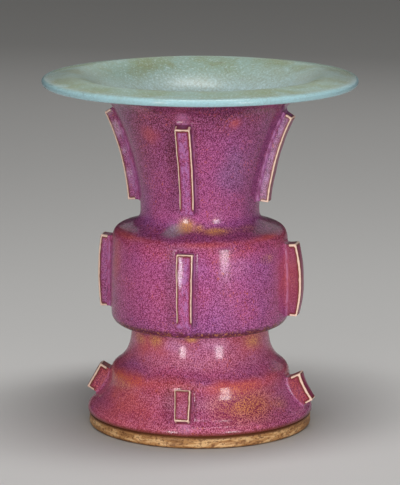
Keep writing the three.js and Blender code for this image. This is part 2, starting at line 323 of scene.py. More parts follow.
class Walls:
    """The corners and outer sides that the walls and the flanges share."""

    def __init__(self, s):
        fine = s.outside_step
        self.ridge_foot = at(s.ridge_radius, FOOT_SEAT + s.ridge_foot)
        self.ridge_top = at(s.ridge_radius - s.ridge_step, FOOT_SEAT + s.ridge_foot + s.ridge_height)
        roll_top = at(RING_RADIUS - s.roll_inset, FOOT_SEAT + s.roll_height)
        foot_start, foot_end = at(RING_RADIUS, FOOT_SEAT), at(s.foot_neck_radius, DRUM_SEAT)
        self.foot_side = joined(
            stretch(foot_start, FOOT_WAY, roll_top, ROLL_WAY, fine * 0.7, (0.23, 0.64)),
            stretch(roll_top, ROLL_WAY, self.ridge_foot, RIDGE_FOOT_WAY, fine),
            stretch(self.ridge_foot, RIDGE_FOOT_WAY, self.ridge_top, RIDGE_TOP_WAY, fine, (0.39, 0.38)),
            stretch(self.ridge_top, RIDGE_TOP_WAY, foot_end, UP, fine, (0.3, 0.55)),
        )
        edge_centre = at(s.drum_radius - s.drum_edge, DRUM_SEAT + s.drum_edge)
        self.shoulder = at(s.drum_radius - s.shoulder_inset, NECK_SEAT - s.shoulder_drop)
        self.arris = at(s.drum_radius - s.arris_inset, NECK_SEAT - s.arris_drop)
        self.neck_seat = at(s.waist_radius + s.seat_flare, NECK_SEAT)
        self.drum_side = joined(
            arc(edge_centre, s.drum_edge, DOWN, 0, fine),
            stretch(edge_centre + at(s.drum_edge, 0), DRUM_WAY, self.shoulder, SHOULDER_WAY, fine),
            stretch(self.shoulder, SHOULDER_WAY, self.arris, ARRIS_WAY, fine, (0.5, 0.27)),
            stretch(self.arris, ARRIS_WAY, self.neck_seat, SEAT_WAY, fine, (0.25, 0.33)),
        )
        self.waist = at(s.waist_radius, NECK_SEAT + s.waist_height)
        self.throat = at(s.throat_radius, CREST - s.throat_drop)
        self.crest = at(s.lip_radius - s.lip_width, CREST)
        nose = at(s.lip_radius - s.lip_nose, CREST - s.lip_drop)
        rounded = arc(nose, s.lip_nose, NOSE_START, NOSE_END, fine * 0.5)
        self.trumpet_side = joined(
            stretch(self.neck_seat, SEAT_WAY, self.waist, UP, fine),
            stretch(self.waist, UP, self.throat, THROAT_WAY, fine, (0.25, 0.3)),
        )
        self.lip_under = stretch(
            self.throat, THROAT_WAY, rounded[0], LIP_UNDER_WAY, fine * 1.4, (0.32, 0.23)
        )
        self.lip_side = joined(
            rounded, stretch(rounded[-1], LIP_TOP_WAY, self.crest, INWARDS, fine * 1.2, (0.45, 0.31))
        )


# Building


class Wiring:
    """Adds nodes to a tree and feeds them values or other nodes' sockets."""

    def __init__(self, tree):
        self.tree = tree

    def feed(self, socket, value):
        if isinstance(value, bpy.types.NodeSocket):
            self.tree.links.new(value, socket)
        elif socket.type == "RGBA":
            socket.default_value = (*tuple(value)[:3], 1)
        else:
            socket.default_value = value

    def add(self, kind, inputs=None, **settings):
        node = self.tree.nodes.new(kind)
        for key, value in settings.items():
            setattr(node, key, value)
        for key, value in (inputs or {}).items():
            self.feed(node.inputs[key], value)
        return node

    def math(self, operation, *values):
        return self.add("ShaderNodeMath", dict(enumerate(values)), operation=operation).outputs[0]

    def vector(self, operation, *values):
        return self.add("ShaderNodeVectorMath", dict(enumerate(values)), operation=operation).outputs[0]

    def scaled(self, vector, amount):
        node = self.add("ShaderNodeVectorMath", {0: vector, "Scale": amount}, operation="SCALE")
        return node.outputs[0]

    def stretched(self, vector, *factors):
        return self.vector("MULTIPLY", vector, factors)

    def length(self, vector):
        return self.add("ShaderNodeVectorMath", {0: vector}, operation="LENGTH").outputs["Value"]

    def noise(self, place, scale, detail=2.0, roughness=0.5, distortion=0.0):
        inputs = {
            "Vector": place, "Scale": scale, "Detail": detail,
            "Roughness": roughness, "Distortion": distortion,
        }
        return self.add("ShaderNodeTexNoise", inputs).outputs[0]

    def share(self, value, none, full, most=1.0):
        """How far a value has come from one that gives 0 to one that gives the most."""
        inputs = {"Value": value, "From Min": none, "From Max": full, "To Max": most}
        return self.add("ShaderNodeMapRange", inputs, interpolation_type="SMOOTHSTEP").outputs[0]

    def times(self, *values):
        product = values[0]
        for value in values[1:]:
            product = self.math("MULTIPLY", product, value)
        return product

    def rest(self, share):
        return self.math("SUBTRACT", 1, share)

    def swing(self, pattern, amount):
        """A pattern of 0 to 1 as a swing to either side of nothing."""
        return self.times(self.math("SUBTRACT", pattern, 0.5), amount)

    def mix(self, share, below, above, blend="MIX"):
        node = self.add("ShaderNodeMix", data_type="RGBA", blend_type=blend, clamp_factor=True)
        for index, value in ((0, share), (6, below), (7, above)):
            self.feed(node.inputs[index], value)
        return node.outputs[2]

    def tinted(self, colour, tint):
        return self.mix(1.0, colour, tint, "MULTIPLY")

    def blend(self, share, below, above):
        node = self.add("ShaderNodeMix", data_type="FLOAT", clamp_factor=True)
        for index, value in ((0, share), (2, below), (3, above)):
            self.feed(node.inputs[index], value)
        return node.outputs[0]

    def ramp(self, value, stops):
        node = self.add("ShaderNodeValToRGB", {0: value})
        elements = node.color_ramp.elements
        while len(elements) < len(stops):
            elements.new(1.0)
        for element, (position, colour) in zip(elements, stops):
            element.position = position
            element.color = (*colour, 1)
        return node.outputs[0]

    def named(self, name):
        return self.add("ShaderNodeAttribute", attribute_name=name).outputs["Fac"]


def new_tree(name, kind, inputs, outputs):
    tree = bpy.data.node_groups.new(name, kind)
    for way, sockets in (("INPUT", inputs), ("OUTPUT", outputs)):
        for label, holds in sockets.items():
            tree.interface.new_socket(label, in_out=way, socket_type="NodeSocket" + holds)
    return tree


def shaping_tree(name, inputs):
    return new_tree(name, "GeometryNodeTree", inputs, {"Geometry": "Geometry"})


def made_once(build):
    """Builds a node group when it is first asked for, and names it after the function."""
    name = build.__name__.replace("_", " ")

    def group():
        return bpy.data.node_groups.get(name) or build(name)

    return group


@made_once
def hand_of_the_potter(name):
    """Moves a shape in towards the axis by a little, unevenly, as a hand-made wall strays. It only
    depends on place, so a flange stays on its wall and two walls keep meeting."""
    tree = shaping_tree(name, {"Geometry": "Geometry", "Unevenness": "Float"})
    w = Wiring(tree)
    given = w.add("NodeGroupInput")
    place = w.add("GeometryNodeInputPosition").outputs[0]
    outward = w.vector("NORMALIZE", w.stretched(place, 1, 1, 0))
    stray = w.math("ADD", w.times(w.noise(place, 15, 1), 0.75), w.times(w.noise(place, 95, 1), 0.25))
    inward = w.times(stray, given.outputs["Unevenness"], -1)
    height = w.add("ShaderNodeSeparateXYZ", {0: place}).outputs["Z"]
    warp = w.noise(outward, 1.1, 0)
    sink = w.times(warp, w.share(height, NECK_SEAT, CREST), given.outputs["Unevenness"], -1.6)
    sunk = w.add("ShaderNodeCombineXYZ", {"Z": sink}).outputs[0]
    shift = w.vector("ADD", w.scaled(outward, inward), sunk)
    moved = w.add("GeometryNodeSetPosition", {"Geometry": given.outputs["Geometry"], "Offset": shift})
    w.add("NodeGroupOutput", {"Geometry": moved.outputs[0]})
    return tree


def finish_tree(w, geometry, given):
    """The end that every shape's tree shares."""
    strayed = w.add("GeometryNodeGroup", node_tree=hand_of_the_potter())
    w.feed(strayed.inputs["Geometry"], geometry)
    w.feed(strayed.inputs["Unevenness"], given.outputs["Unevenness"])
    smooth = w.add("GeometryNodeSetShadeSmooth", {"Geometry": strayed.outputs[0]})
    real = w.add("GeometryNodeRealizeInstances", {"Geometry": smooth.outputs[0]})
    glazed = w.add(
        "GeometryNodeSetMaterial", {"Geometry": real.outputs[0], "Material": given.outputs["Glaze"]}
    )
    if "Inner glaze" in given.outputs:
        aqua = w.add("GeometryNodeInputNamedAttribute", {"Name": "aqua"}, data_type="FLOAT").outputs[0]
        glazed = w.add(
            "GeometryNodeSetMaterial",
            {"Geometry": glazed.outputs[0], "Selection": w.math("GREATER_THAN", aqua, 0.999),
             "Material": given.outputs["Inner glaze"]},
        )
    w.add("NodeGroupOutput", {0: glazed.outputs[0]})


def value_socket(node):
    """The socket for the kind of value that a node is set to."""
    return next(s for s in node.inputs if s.name == "Value" and s.enabled)


@made_once
def turned_wall(name):
    """Turns an outline, drawn as a line of points in X and Z, round the vase's axis."""
    tree = shaping_tree(name, {
        "Outline": "Geometry", "Segments": "Int", "Unevenness": "Float",
        "Glaze": "Material", "Inner glaze": "Material",
    })
    w = Wiring(tree)
    given = w.add("NodeGroupInput")
    outline = given.outputs["Outline"]
    place = w.add("GeometryNodeInputPosition").outputs[0]
    count = w.add("GeometryNodeAttributeDomainSize", {0: outline}).outputs["Point Count"]
    grid = w.add(
        "GeometryNodeMeshGrid",
        {"Size X": 1.0, "Size Y": 1.0, "Vertices Y": count,
         "Vertices X": w.math("ADD", given.outputs["Segments"], 1)},
    ).outputs["Mesh"]
    parts = w.add("ShaderNodeSeparateXYZ", {0: place})
    turn = w.times(w.math("ADD", parts.outputs["X"], 0.5), 2 * math.pi)
    ring = w.times(w.math("ADD", parts.outputs["Y"], 0.5), w.math("SUBTRACT", count, 1))
    index = w.add("FunctionNodeFloatToInt", {0: ring}, rounding_mode="ROUND").outputs[0]
    at_index = {"Geometry": outline, "Index": index}
    for mark in ("aqua", "bare"):
        value = w.add("GeometryNodeInputNamedAttribute", {"Name": mark}, data_type="FLOAT").outputs[0]
        found = w.add("GeometryNodeSampleIndex", at_index, data_type="FLOAT")
        w.feed(value_socket(found), value)
        named = {"Geometry": grid, "Name": mark}
        kept = w.add("GeometryNodeStoreNamedAttribute", named, data_type="FLOAT")
        w.feed(value_socket(kept), found.outputs[0])
        grid = kept.outputs[0]
    point = w.add("GeometryNodeSampleIndex", at_index, data_type="FLOAT_VECTOR")
    w.feed(value_socket(point), place)
    drawn = w.add("ShaderNodeSeparateXYZ", {0: point.outputs[0]})
    turned = w.add(
        "ShaderNodeCombineXYZ",
        {"X": w.times(drawn.outputs["X"], w.math("SINE", turn)),
         "Y": w.times(drawn.outputs["X"], w.math("COSINE", turn), -1),
         "Z": drawn.outputs["Z"]},
    ).outputs[0]
    wall = w.add("GeometryNodeSetPosition", {"Geometry": grid, "Position": turned}).outputs[0]
    closed = w.add("GeometryNodeMergeByDistance", {"Geometry": wall, "Distance": 1e-6}).outputs[0]
    finish_tree(w, closed, given)
    return tree


@made_once
def flange_in_its_column(name):
    """Carries a flange, made at the front, round to its own column."""
    tree = shaping_tree(
        name, {"Flange": "Geometry", "Turn": "Float", "Unevenness": "Float", "Glaze": "Material"}
    )
    w = Wiring(tree)
    given = w.add("NodeGroupInput")
    angles = w.add("ShaderNodeCombineXYZ", {"Z": given.outputs["Turn"]}).outputs[0]
    carried = {"Geometry": given.outputs["Flange"], "Rotation": angles}
    finish_tree(w, w.add("GeometryNodeTransform", carried).outputs[0], given)
    return tree


def grown_piece(name, source, tree, values):
    """Runs a tree on a mesh and keeps what it makes as a plain mesh."""
    draft = bpy.data.objects.new(name + "_draft", source)
    bpy.context.scene.collection.objects.link(draft)
    modifier = draft.modifiers.new(tree.name, "NODES")
    modifier.node_group = tree
    for item in tree.interface.items_tree:
        if item.in_out == "INPUT" and item.name in values:
            modifier[item.identifier] = values[item.name]
    made = draft.evaluated_get(bpy.context.evaluated_depsgraph_get())
    mesh = bpy.data.meshes.new_from_object(made)
    draft.modifiers.clear()
    bpy.data.objects.remove(draft)
    bpy.data.meshes.remove(source)
    mesh.name = name
    piece = bpy.data.objects.new(name, mesh)
    bpy.context.scene.collection.objects.link(piece)
    return piece


def settle(piece, node):
    """Puts a finished piece in the place of its solid."""
    if not piece.data.polygons:
        raise RuntimeError(f"{piece.name} came out empty")
    piece.data.set_sharp_from_angle(angle=math.radians(SHARP_ANGLE))
    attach(piece, "root")
    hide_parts(node)


def turned_piece(node, outline, glaze, aqua=None, bare=None, finish="glazed"):
    """A wall from its closed outline, which runs up the outside and down the inside."""
    sizes = bpy.context.scene.vase_walls
    mesh = bpy.data.meshes.new(node + "_outline")
    edges = [(i, i + 1) for i in range(len(outline) - 1)]
    mesh.from_pydata([(p.x, 0, p.y) for p in outline], edges, [])
    for name, rule in (("aqua", aqua), ("bare", bare)):
        values = [rule(i, p) if rule else 0.0 for i, p in enumerate(outline)]
        mesh.attributes.new(name, "FLOAT", "POINT").data.foreach_set("value", values)
    values = {
        "Segments": sizes.segments, "Unevenness": sizes.unevenness,
        "Glaze": glaze, "Inner glaze": aqua_glaze(),
    }
    settle(grown_piece(f"{node}_{finish}", mesh, turned_wall(), values), node)


def eased(value, none, full):
    share = min(max((value - none) / (full - none), 0), 1)
    return share * share * (3 - 2 * share)


# Flanges


class Track:
    """The line up a wall that a flange follows: where it runs, which way it faces, and how far under
    that line the wall lies. A straight flange spans the hollow of the wall."""

    def __init__(self, side, low, high, level):
        self.side = side
        self.lengths = [0.0]
        for a, b in zip(side, side[1:]):
            self.lengths.append(self.lengths[-1] + (b - a).length)
        self.start, self.end = self.length_at(low), self.length_at(high)
        self.level = level
        if level:
            self.foot, self.head = self.on_wall(self.start)[0], self.on_wall(self.end)[0]
            self.length = (self.head - self.foot).length
            self.along = (self.head - self.foot).normalized()
        else:
            self.length = self.end - self.start

    def length_at(self, height):
        for i, (a, b) in enumerate(zip(self.side, self.side[1:])):
            if a.y <= height <= b.y:
                return self.lengths[i] + (b - a).length * (height - a.y) / max(b.y - a.y, 1e-9)
        raise RuntimeError(f"no wall at a height of {height:.4f}")

    def point(self, length):
        length = min(max(length, 0), self.lengths[-1] - 1e-9)
        i = next(k for k, far in enumerate(self.lengths[1:]) if far >= length)
        span = self.lengths[i + 1] - self.lengths[i]
        return self.side[i].lerp(self.side[i + 1], (length - self.lengths[i]) / span)

    def on_wall(self, length):
        """A point of the wall and the way out from it."""
        ahead = self.point(length + 0.0015) - self.point(length - 0.0015)
        return self.point(length), at(ahead.y, -ahead.x).normalized()

    def where(self, s):
        """The wall's point under a place on the flange, the way out, and the wall's depth there."""
        if not self.level:
            return (*self.on_wall(self.start + s), 0.0)
        way = at(self.along.y, -self.along.x)
        base = self.foot + self.along * s
        for a, b in zip(self.side, self.side[1:]):
            met = intersect_line_line_2d(base + way * 0.03, base - way * 0.03, a, b)
            if met:
                return met, way, (base - met).dot(way)
        return base, way, 0.0


def marks(length, step):
    """Distances along a side, close together near its ends, where the thin glaze is drawn."""
    near = [0.0, 0.0004, 0.0008, 0.0013, 0.002]
    count = max(2, round((length - 2 * near[-1]) / step))
    middle = [near[-1] + (length - 2 * near[-1]) * i / count for i in range(1, count)]
    return near + middle + [length - d for d in reversed(near)]


def rectangle(half_length, half_width, corner, long_marks, short_marks, full_length, full_width):
    """Points round a rectangle with rounded corners, as places along and across, the same number for
    every size, with how far each is from a corner."""
    corner = min(corner, half_length * 0.98, half_width * 0.98)
    points = []
    sides = (
        (long_marks, full_length, at(-half_length + corner, half_width), at(1, 0), half_length, 90),
        (short_marks, full_width, at(half_length, half_width - corner), at(0, -1), half_width, 0),
        (long_marks, full_length, at(half_length - corner, -half_width), at(-1, 0), half_length, -90),
        (short_marks, full_width, at(-half_length, -half_width + corner), at(0, 1), half_width, 180),
    )
    for distances, full, begin, way, half, facing in sides:
        reach = 2 * (half - corner)
        for d in distances:
            points.append((begin + way * reach * (d / full), min(d, full - d)))
        centre = begin + way * reach - heading(facing) * corner
        for i in range(1, CORNER_TURNS):
            points.append((centre + heading(facing - 90 * i / CORNER_TURNS) * corner, 0.0))
    return points


def quarter(steps, first):
    """Sines and cosines of the steps of a right angle."""
    angles = [math.radians(90 * i / steps) for i in range(first, steps + 1)]
    return [(math.sin(angle), math.cos(angle)) for angle in angles]


def flange_loops(s, half_width, proud):
    """The loops of a flange's mesh, each as how far outside the flange's own outline it lies, how high
    over the wall, and if it lies on the face. They run from the hidden back out over the wall, up the
    fillet and the sides, over the rounded edge and in to the middle of the face."""
    loops = []
    for share in (1.0, 0.6, 0.2, -0.2, -0.6, -0.96):
        inset = share * s.fillet if share > 0 else share * half_width
        loops.append((inset, -BURIED, 0))
    loops.reverse()
    loops.append((s.fillet * 1.35, -BURIED / 2, 0))
    for sine, cosine in quarter(FILLET_LOOPS, 0):
        loops.append((s.fillet * (1 - sine), s.fillet * (1 - cosine) - FILLET_SUNK, 0))
    for i in range(1, SIDE_LOOPS + 1):
        loops.append((0, s.fillet + (proud - s.edge - s.fillet) * i / SIDE_LOOPS, 0))
    for sine, cosine in quarter(EDGE_LOOPS, 1):
        loops.append((-s.edge * (1 - cosine), proud - s.edge * (1 - sine), 0))
    for share in (0.93, 0.85, 0.72, 0.55, 0.35, 0.15, 0.04):
        loops.append((-half_width + (half_width - s.edge) * share, proud, 1))
    return loops


def flange_faces(loops, count, side, end):
    """Faces between the loops, and over the first and the last of them."""
    faces = []
    for i in range(loops - 1):
        for k in range(count):
            a, b = i * count + k, i * count + (k + 1) % count
            faces.append((a, b, b + count, a + count))
    turns = CORNER_TURNS - 1  # points round a corner
    end += turns
    for first, flip in ((0, True), ((loops - 1) * count, False)):
        strip = []
        left = list(range(side))
        right = [side + turns + end + i for i in range(side)][::-1]
        for a, b, c, d in zip(left, left[1:], right[1:], right):
            strip.append((first + a, first + b, first + c, first + d))
        strip.append(tuple(first + k for k in range(side - 1, side + turns + end + 1)))
        strip.append(tuple(first + k % count for k in range(2 * side + turns + end - 1, count + 1)))
        faces += [tuple(reversed(f)) for f in strip] if flip else strip
    return faces


def flange_mesh(name, track, hand, seed, sharp_foot, pool):
    """A flange at the front of the vase, with marks for the glaze: how near to an edge a point lies, if
    it lies on the face, and if on the flange's body at all."""
    s = bpy.context.scene.vase_flanges
    width, proud = hand["width"], hand["proud"]
    half_width, half_length = width / 2, track.length / 2
    loops = flange_loops(s, half_width, proud)
    long_marks, short_marks = marks(track.length, s.step), marks(width, s.step)
    places = {}
    tip = math.tan(math.radians(hand.get("lean", 0)))

    def place(at_s, across, height):
        key = round(at_s, 6)
        if key not in places:
            places[key] = track.where(at_s + half_length)
        wall, way, depth = places[key]
        risen = at_s / track.length + 0.5
        reach = proud + depth
        if height > s.fillet:
            height = s.fillet + (height - s.fillet) * (reach - s.fillet) / (proud - s.fillet)
        leaves = min(max(height / reach, 0), 1)
        bowed = 4 * hand["bow"] * max(risen * (1 - risen), 0)
        raked = hand.get("rake", 0) * min(max(risen, 0), 1)
        point = wall + way * height + at((bowed + raked) * leaves, 0)
        across = across * (1 - s.taper / width * (1 - risen)) + tip * at_s
        drop = point.x - math.sqrt(max(point.x**2 - across**2, 0))
        return Vector((across, -(point.x - drop * (1 - leaves**0.5)), point.y))

    vertices, near, face, body = [], [], [], []
    for outside, height, on_face in loops:
        corner = max(CORNER + outside, LEAST_CORNER)
        ring = rectangle(
            half_length + outside, half_width + outside, corner, long_marks, short_marks,
            track.length, width,
        )
        count = len(ring)
        cut = eased(height, 0.0005, s.fillet)
        for (along, across), from_corner in ring:
            stray = noise.noise(Vector((along * 90, across * 60, seed))) * s.waver * cut
            lift = noise.noise(Vector((along * 70, across * 90, seed + 20))) * s.waver * 0.7 * cut
            level = height + lift * (height > s.fillet)
            if on_face:
                level += s.crown * (1 - (across / half_width) ** 2)
            if along < -half_length and outside > 0:
                along = -half_length + (along + half_length) * (1 + pool)
            sway = stray * min(1, abs(across) / half_width * 1.5)
            vertices.append(place(along, across + math.copysign(1, across) * sway, level))
            if height >= proud - s.edge:
                rim = abs(outside + s.edge * 0.3)
            else:
                rim = proud - s.edge * 0.3 - height
            close = 1 - min(rim / NEAR_RIM, 1)
            stub = (1 - min(from_corner / NEAR_RIM, 1)) * eased(height, proud * 0.1, proud * 0.4)
            if on_face:
                stub = 0
            low_end = eased(along, -half_length + 0.006, -half_length + 0.001)
            kept = 1 if sharp_foot else 1 - low_end
            near.append(max(close, stub) * kept if height > s.fillet else 0.0)
            face.append(float(on_face or height >= proud - s.edge * 0.35))
            body.append(cut)
    faces = flange_faces(len(loops), count, len(long_marks), len(short_marks))
    mesh = bpy.data.meshes.new(name)
    mesh.from_pydata(vertices, [], faces)
    for label, values in (("near", near), ("face", face), ("body", body)):
        mesh.attributes.new(label, "FLOAT", "POINT").data.foreach_set("value", values)
    shape = bmesh.new()
    shape.from_mesh(mesh)
    bmesh.ops.recalc_face_normals(shape, faces=shape.faces)
    shape.to_mesh(mesh)
    shape.free()
    return mesh


def flange_set(kind, side, seat, mark, level, glaze, open_feet=(), pool=0.0):
    """One flange of a kind for each column, between a seat under them and a mark over them. An open
    foot has no cream edge, and a pool of glaze draws the front one's fillet down."""
    sizes = bpy.context.scene.vase_flanges
    unevenness = bpy.context.scene.vase_walls.unevenness
    shared = {key: getattr(sizes, f"{kind}_{key}") for key in FLANGE_MEANINGS}
    for number, (column, turn) in enumerate(COLUMNS.items()):
        node = f"{kind}_flange_{column}"
        hand = {**shared, **BY_HAND.get(node, {})}
        track = Track(side, seat + hand["foot"], mark - hand["head"], level)
        mesh = flange_mesh(
            node, track, hand, seed=3.7 * number + len(kind),
            sharp_foot=column not in open_feet, pool=pool if column == "front" else 0.0,
        )
        turned = math.radians(turn + hand.get("slip", 0))
        values = {"Turn": turned, "Unevenness": unevenness, "Glaze": glaze}
        settle(grown_piece(node + "_glazed", mesh, flange_in_its_column(), values), node)


# Glazes


def spot(degrees, radius, height):
    """A place on the outside, by how far round from the front it lies."""
    turn = math.radians(degrees)
    return Vector((radius * math.sin(turn), -radius * math.cos(turn), height))


def mixed(a, b, share):
    return tuple(x * (1 - share) + y * share for x, y in zip(a, b))


class Glaze(Wiring):
    """A group of nodes that lays colours over one another. It goes by places on the whole vase and not
    on the single piece, so it flows on from wall to wall."""

    def __init__(self, name):
        super().__init__(new_tree(name, "ShaderNodeTree", {}, {"Colour": "Color", "Relief": "Float"}))
        self.place = self.add("ShaderNodeTexCoord").outputs["Object"]
        parts = self.add("ShaderNodeSeparateXYZ", {0: self.place}).outputs
        self.across, self.height = parts["X"], parts["Z"]
        self.from_axis = self.stretched(self.place, 1, 1, 0)
        self.colour = None

    def lay(self, colour, *shares):
        """Covers the colour so far by the product of some shares."""
        self.colour = self.mix(self.times(*shares), self.colour, colour)

    def finish(self, relief):
        self.add("NodeGroupOutput", {"Colour": self.colour, "Relief": relief})
        return self.tree


def tones_by_height(c):
    """The copper glaze's ground, as shares of GROUND_TOP and the tone there."""
    return [
        (0.036, mixed(c.rose, c.maroon, 0.7)),
        (0.055, mixed(c.rose, c.lilac, 0.2)),
        (0.075, mixed(c.rose, c.purple, 0.6)),
        (0.110, mixed(c.rose, c.lilac, 0.27)),
        (0.140, mixed(c.rose, c.maroon, 0.1)),
        (0.160, mixed(c.rose, c.orange, 0.25)),
        (0.176, mixed(c.purple, c.rose, 0.5)),
        (0.200, mixed(c.rose, c.lilac, 0.26)),
        (0.245, mixed(c.rose, c.lilac, 0.32)),
        (0.272, mixed(c.rose, c.orange, 0.2)),
        (0.283, c.plum),
        (0.310, mixed(c.purple, c.plum, 0.4)),
        (0.345, mixed(mixed(c.purple, c.plum, 0.15), c.rose, 0.15)),
        (0.420, mixed(c.purple, c.rose, 0.25)),
        (0.490, mixed(c.purple, c.rose, 0.1)),
        (0.520, mixed(c.rose, c.purple, 0.45)),
        (0.545, mixed(c.rose, c.maroon, 0.3)),
        (0.562, mixed(c.plum, c.purple, 0.6)),
        (0.585, mixed(mixed(c.plum, c.purple, 0.8), c.violet, 0.25)),
        (0.602, mixed(c.plum, c.purple, 0.95)),
        (0.640, mixed(c.purple, c.plum, 0.2)),
        (0.800, mixed(c.purple, c.plum, 0.4)),
        # Up under the lip the tones darken towards black: painted shade
        (0.850, mixed(mixed(c.purple, c.plum, 0.5), c.maroon, 0.4)),
        (0.890, mixed(c.plum, c.maroon, 0.5)),
        (0.925, mixed(BLACK, mixed(c.plum, c.maroon, 0.6), 0.5)),
    ]


@made_once
def flowing_glaze(name):
    """The copper glaze of the outside."""
    c = bpy.context.scene.vase_colours
    w = Glaze(name)
    body, outward = w.named("body"), w.vector("NORMALIZE", w.from_axis)
    # A sheet rolled round the axis, on which specks lie drawn out the way the glaze ran. On a flange
    # they lie as they come.
    rolled = w.vector("ADD", w.stretched(outward, 0.06, 0.06, 0), w.stretched(w.place, 0.3, 0.3, 0.8))
    sheet = w.vector("ADD", rolled, w.scaled(w.vector("SUBTRACT", w.place, rolled), body))
    grain = w.noise(sheet, 1400, 0.6, 0.5, 0.6)
    freckle = w.noise(w.vector("ADD", sheet, (3, 1, 2)), 620, 2, 0.6, 0.5)
    clump = w.noise(w.place, 170, 2, 0.55)
    drift = w.noise(w.place, 42, 3, 0.55, 0.4)
    cloud = w.noise(w.stretched(w.place, 1, 1, 0.6), 17, 2, 0.5, 0.3)
    loose = w.math("ADD", w.times(drift, 2), w.times(grain, 1.2))
    astray = w.math("SUBTRACT", loose, 1.6)

    def patch(colour, degrees, radius, level, reach, flat=1.0, strength=1.0, ragged=0.5):
        """Lays a soft-edged patch of a tone, broken up by the drifting and the grain, round a place
        that lies some degrees from the front. The flatter it is, the wider for its height."""
        squeeze = (1, 1, flat)
        centre = spot(degrees, radius, level) * Vector(squeeze)
        gap = w.vector("SUBTRACT", w.stretched(w.place, *squeeze), centre)
        far = w.math("ADD", w.length(gap), w.times(astray, reach * ragged))
        w.lay(colour, w.share(far, reach, reach * 0.15, strength))

    # Cooler and warmer clouds, with painted shade under the lip and beside the front neck flange
    level = w.math("DIVIDE", w.math("ADD", w.height, w.swing(drift, 0.012)), GROUND_TOP)
    w.colour = w.ramp(level, tones_by_height(c))
    w.lay(c.violet, w.share(cloud, 0.5, 0.72, 0.3))
    w.lay(c.rose, w.share(cloud, 0.46, 0.3, 0.35))
    for row in (
        (mixed(c.violet, c.smoke, 0.4), 42, 0.058, 0.218, 0.024, 0.8, 0.5),
        (c.violet, 50, 0.074, 0.13, 0.034, 0.7, 0.3),
        (c.violet, 30, 0.07, 0.162, 0.02, 2.0, 0.3),
        (c.lilac, 34, 0.074, 0.146, 0.02, 1.5, 0.25),
        (c.plum, 72, 0.058, 0.225, 0.036, 0.4, 0.65),
        (c.plum, 52, 0.055, 0.21, 0.04, 0.5, 0.3),
        (c.maroon, 50, 0.06, 0.074, 0.03, 1.0, 0.25),
        (c.maroon, 50, 0.085, 0.025, 0.035, 1.5, 0.45),
        (mixed(c.lilac, c.orange, 0.5), -46, 0.07, 0.1645, 0.03, 8.0, 0.2),
        # Painted shade: a dark strip down the left side of the front neck flange
        (c.maroon, -12, 0.06, 0.222, 0.012, 0.25, 0.7),
        (c.maroon, -38, 0.062, 0.24, 0.024, 0.8, 0.4),
        (c.violet, -50, 0.07, 0.054, 0.03, 2.6, 0.35),
        (c.violet, 14, 0.074, 0.05, 0.014, 3.0, 0.35),
        (c.violet, -60, 0.09, 0.022, 0.03, 1.8, 0.2),
        (c.violet, 54, 0.09, 0.02, 0.03, 2.2, 0.12),
        (mixed(c.rose, c.orange, 0.45), -38, 0.085, 0.03, 0.036, 2.0, 0.55),
        (c.maroon, -30, 0.06, 0.23, 0.05, 0.6, 0.3),
        (c.violet, 40, 0.066, 0.057, 0.02, 2.2, 0.15),
        (c.lilac, -12, 0.057, 0.078, 0.014, 1.5, 0.4),
        (c.lilac, 20, 0.057, 0.08, 0.016, 1.8, 0.35),
    ):
        patch(*row)
    w.lay(c.orange, w.share(w.height, 0.088, 0.065, 0.1))

    # The grain itself: dark threads and pale points, with stray warm and cold specks among them
    speck = w.math("ADD", grain, w.swing(clump, 0.08))
    shade = w.tinted(w.colour, (0.4, 0.2, 0.33))
    light = w.mix(0.32, w.tinted(w.colour, (1.25, 1.65, 1.4)), c.lilac)
    w.lay(shade, w.share(speck, 0.54, 0.42, 0.95))
    w.lay(light, w.share(speck, 0.5, 0.61, 0.85))
    w.lay(c.orange, w.share(freckle, 0.6, 0.68), w.share(drift, 0.46, 0.6), 0.6)
    w.lay(c.violet, w.share(freckle, 0.4, 0.32), w.share(drift, 0.5, 0.36), 0.5)

    # Orange grains where the glaze runs thin over the ridges
    glow = w.mix(w.share(speck, 0.44, 0.56), mixed(c.maroon, c.rose, 0.75), c.orange)
    for row in (
        (-46, 0.076, 0.046, 0.042, 5.0, 0.85),
        (34, 0.076, 0.045, 0.045, 6.0, 0.75),
        (-38, 0.09, 0.022, 0.045, 1.8, 0.4),
        (-50, 0.082, 0.033, 0.026, 2.2, 0.4),
        (-46, 0.07, 0.1645, 0.036, 11.0, 0.5),
        (20, 0.071, 0.1635, 0.05, 14.0, 0.4),
        (62, 0.07, 0.1645, 0.026, 9.0, 0.6),
        (-60, 0.073, 0.143, 0.014, 0.6, 0.5),
        (-38, 0.059, 0.074, 0.024, 1.6, 0.7),
        (58, 0.059, 0.073, 0.022, 1.8, 0.5),
        (33, 0.068, 0.262, 0.009, 1.0, 0.6),
        (80, 0.08, 0.13, 0.026, 0.9, 0.6),
        (-30, 0.064, 0.25, 0.013, 1.0, 0.4),
        (160, 0.076, 0.045, 0.05, 5.0, 0.7),
        (215, 0.07, 0.162, 0.04, 6.0, 0.7),
        (38, 0.083, 0.031, 0.04, 2.6, 0.2),
    ):
        patch(glow, *row, ragged=0.8)

